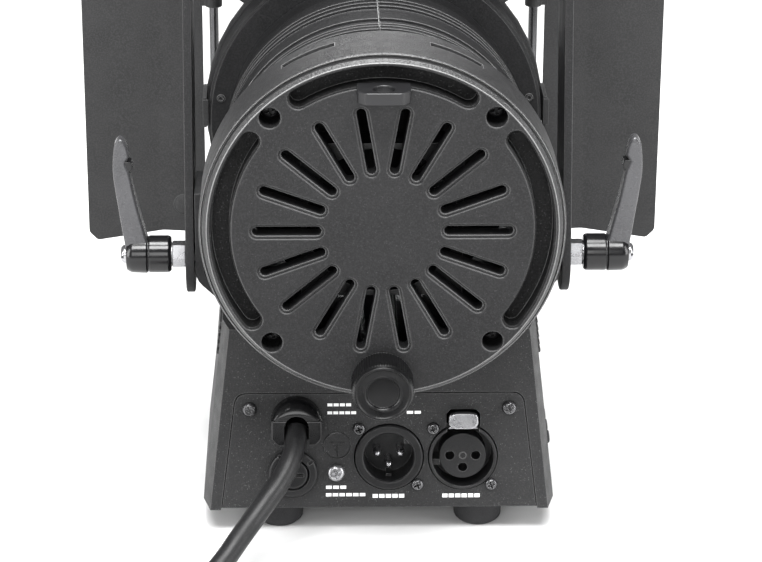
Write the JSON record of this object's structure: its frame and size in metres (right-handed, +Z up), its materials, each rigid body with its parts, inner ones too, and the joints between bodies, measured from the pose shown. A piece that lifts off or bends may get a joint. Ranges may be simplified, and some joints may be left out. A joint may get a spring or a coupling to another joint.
{
  "type": "par can light",
  "caption": "Compact LED theatre spotlight with vented rear cap, finned body, barn doors, yoke with clamp levers, and a base with DMX connectors and a mains lead.",
  "frame": {"origin": "on the floor, under the middle of the lamp's box without its power cord", "axes": "+Z up, the lens faces -Y, the connector panel faces +Y, +X to the left of a person behind the lamp"},
  "size_m": [0.1994, 0.2977, 0.2191],
  "materials": {
    "cast_black": "satin painted casting with a fine grain",
    "powder_black": "fine sparkling powder coat",
    "sheet_black": "matte painted steel sheet",
    "screw_black": "blackened steel",
    "zinc": "bright zinc plate",
    "lever_grey": "satin dark coat on die-cast zinc",
    "nylon_black": "moulded black nylon",
    "rubber_black": "matte rubber",
    "cord_black": "smooth matte rubber sheath",
    "lens_glass": "clear polished glass",
    "aluminium": "satin",
    "board_green": "solder mask",
    "led_yellow": "phosphor under clear silicone",
    "display_black": "gloss window"
  },
  "bodies": {
    "lamp": {"rear_cap": "cast_black", "shell_left": "cast_black", "shell_right": "cast_black", "front_ring": "cast_black", "base_housing": "powder_black", "rear_panel": "powder_black", "yoke_bracket_left": "powder_black", "yoke_bracket_right": "powder_black", "bottom_plate": "sheet_black", "barn_door_frame": "sheet_black", "lens_retainer": "sheet_black", "cap_screw_top_left": "screw_black", "cap_screw_top_right": "screw_black", "cap_screw_bottom_left": "screw_black", "cap_screw_bottom_right": "screw_black", "panel_screw_left": "screw_black", "panel_screw_right": "screw_black", "hinge_pin_left": "screw_black", "hinge_pin_right": "screw_black", "hinge_pin_top": "screw_black", "hinge_pin_bottom": "screw_black", "earth_screw": "zinc", "cable_gland": "nylon_black", "dmx_in_socket": "nylon_black", "dmx_out_socket": "nylon_black", "fuse_holder": "nylon_black", "fan_frame": "nylon_black", "foot_front_left": "rubber_black", "foot_front_right": "rubber_black", "foot_rear_left": "rubber_black", "foot_rear_right": "rubber_black", "power_cord": "cord_black", "cord_coil": "cord_black", "cord_tail": "cord_black", "mains_plug": "cord_black", "lens": "lens_glass", "guide_rod_left": "aluminium", "guide_rod_right": "aluminium", "power_board": "board_green", "control_window": "display_black"},
    "yoke": {"yoke": "powder_black"},
    "lever_left": {"lever_insert_left": "zinc"},
    "lever_right": {"lever_insert_right": "zinc"},
    "handle_left": {"lever_handle_left": "lever_grey"},
    "handle_right": {"lever_handle_right": "lever_grey"},
    "carriage": {"led_carriage": "aluminium", "led_module": "led_yellow"},
    "zoom": {"zoom_spindle": "aluminium", "zoom_knob": "nylon_black"},
    "fan": {"fan_rotor": "nylon_black"},
    "leaf_left": {"leaf_left": "sheet_black"},
    "leaf_right": {"leaf_right": "sheet_black"},
    "leaf_top": {"leaf_top": "sheet_black"},
    "leaf_bottom": {"leaf_bottom": "sheet_black"},
    "dmx_latch": {"dmx_latch": "zinc"},
    "fuse_cap": {"fuse_cap": "nylon_black"},
    "button_1": {"button_1": "rubber_black"},
    "button_2": {"button_2": "rubber_black"},
    "button_3": {"button_3": "rubber_black"},
    "button_4": {"button_4": "rubber_black"}
  },
  "joints": [
    {"name": "yoke_tilt", "type": "hinge", "parent": "lamp", "child": "yoke", "pos_m": [0, 0.0138, 0.0845], "axis": [1, 0, 0], "range_deg": [-102, 8]},
    {"name": "lever_left_turn", "type": "hinge", "parent": "lamp", "child": "lever_left", "pos_m": [0.062, 0.0138, 0.0845], "axis": [1, 0, 0], "range_deg": [-180, 180]},
    {"name": "lever_right_turn", "type": "hinge", "parent": "lamp", "child": "lever_right", "pos_m": [-0.062, 0.0138, 0.0845], "axis": [1, 0, 0], "range_deg": [-180, 180]},
    {"name": "lever_left_lift", "type": "slide", "parent": "lever_left", "child": "handle_left", "axis": [1, 0, 0], "range_m": [0, 0.0035], "stiffness_N_per_m": 800},
    {"name": "lever_right_lift", "type": "slide", "parent": "lever_right", "child": "handle_right", "axis": [-1, 0, 0], "range_m": [0, 0.0035], "stiffness_N_per_m": 800},
    {"name": "carriage_slide", "type": "slide", "parent": "lamp", "child": "carriage", "axis": [0, 1, 0], "range_m": [-0.024, 0.018]},
    {"name": "zoom_turn", "type": "hinge", "parent": "lamp", "child": "zoom", "pos_m": [0, 0.0808, 0.0668], "axis": [0, 1, 0], "range_deg": [-1081, 811]},
    {"name": "fan_spin", "type": "hinge", "parent": "lamp", "child": "fan", "pos_m": [0, 0.0608, 0.116], "axis": [0, 1, 0], "continuous": true},
    {"name": "leaf_left_swing", "type": "hinge", "parent": "lamp", "child": "leaf_left", "pos_m": [0.0545, -0.0532, 0.116], "axis": [0, 0, 1], "range_deg": [-165, 10]},
    {"name": "leaf_right_swing", "type": "hinge", "parent": "lamp", "child": "leaf_right", "pos_m": [-0.0545, -0.0532, 0.116], "axis": [0, 0, -1], "range_deg": [-165, 10]},
    {"name": "leaf_top_swing", "type": "hinge", "parent": "lamp", "child": "leaf_top", "pos_m": [0, -0.0472, 0.172], "axis": [-1, 0, 0], "range_deg": [-137, 40]},
    {"name": "leaf_bottom_swing", "type": "hinge", "parent": "lamp", "child": "leaf_bottom", "pos_m": [0, -0.0472, 0.06], "axis": [1, 0, 0], "range_deg": [-112.3, 64.7]},
    {"name": "dmx_latch_press", "type": "slide", "parent": "lamp", "child": "dmx_latch", "axis": [0, -0.9938, -0.1116], "range_m": [0, 0.0012], "stiffness_N_per_m": 600},
    {"name": "fuse_cap_turn", "type": "hinge", "parent": "lamp", "child": "fuse_cap", "pos_m": [0.0281, 0.04889, 0.02159], "axis": [0, 0.9938, 0.1116], "range_deg": [0, 60]},
    {"name": "button_1_press", "type": "slide", "parent": "lamp", "child": "button_1", "axis": [0.9937, 0, -0.1124], "range_m": [0, 0.0008], "stiffness_N_per_m": 400},
    {"name": "button_2_press", "type": "slide", "parent": "lamp", "child": "button_2", "axis": [0.9937, 0, -0.1124], "range_m": [0, 0.0008], "stiffness_N_per_m": 400},
    {"name": "button_3_press", "type": "slide", "parent": "lamp", "child": "button_3", "axis": [0.9937, 0, -0.1124], "range_m": [0, 0.0008], "stiffness_N_per_m": 400},
    {"name": "button_4_press", "type": "slide", "parent": "lamp", "child": "button_4", "axis": [0.9937, 0, -0.1124], "range_m": [0, 0.0008], "stiffness_N_per_m": 400}
  ],
  "couplings": [
    {"joint": "zoom_turn", "follows": "carriage_slide", "rad_per_m": 785.4}
  ]
}
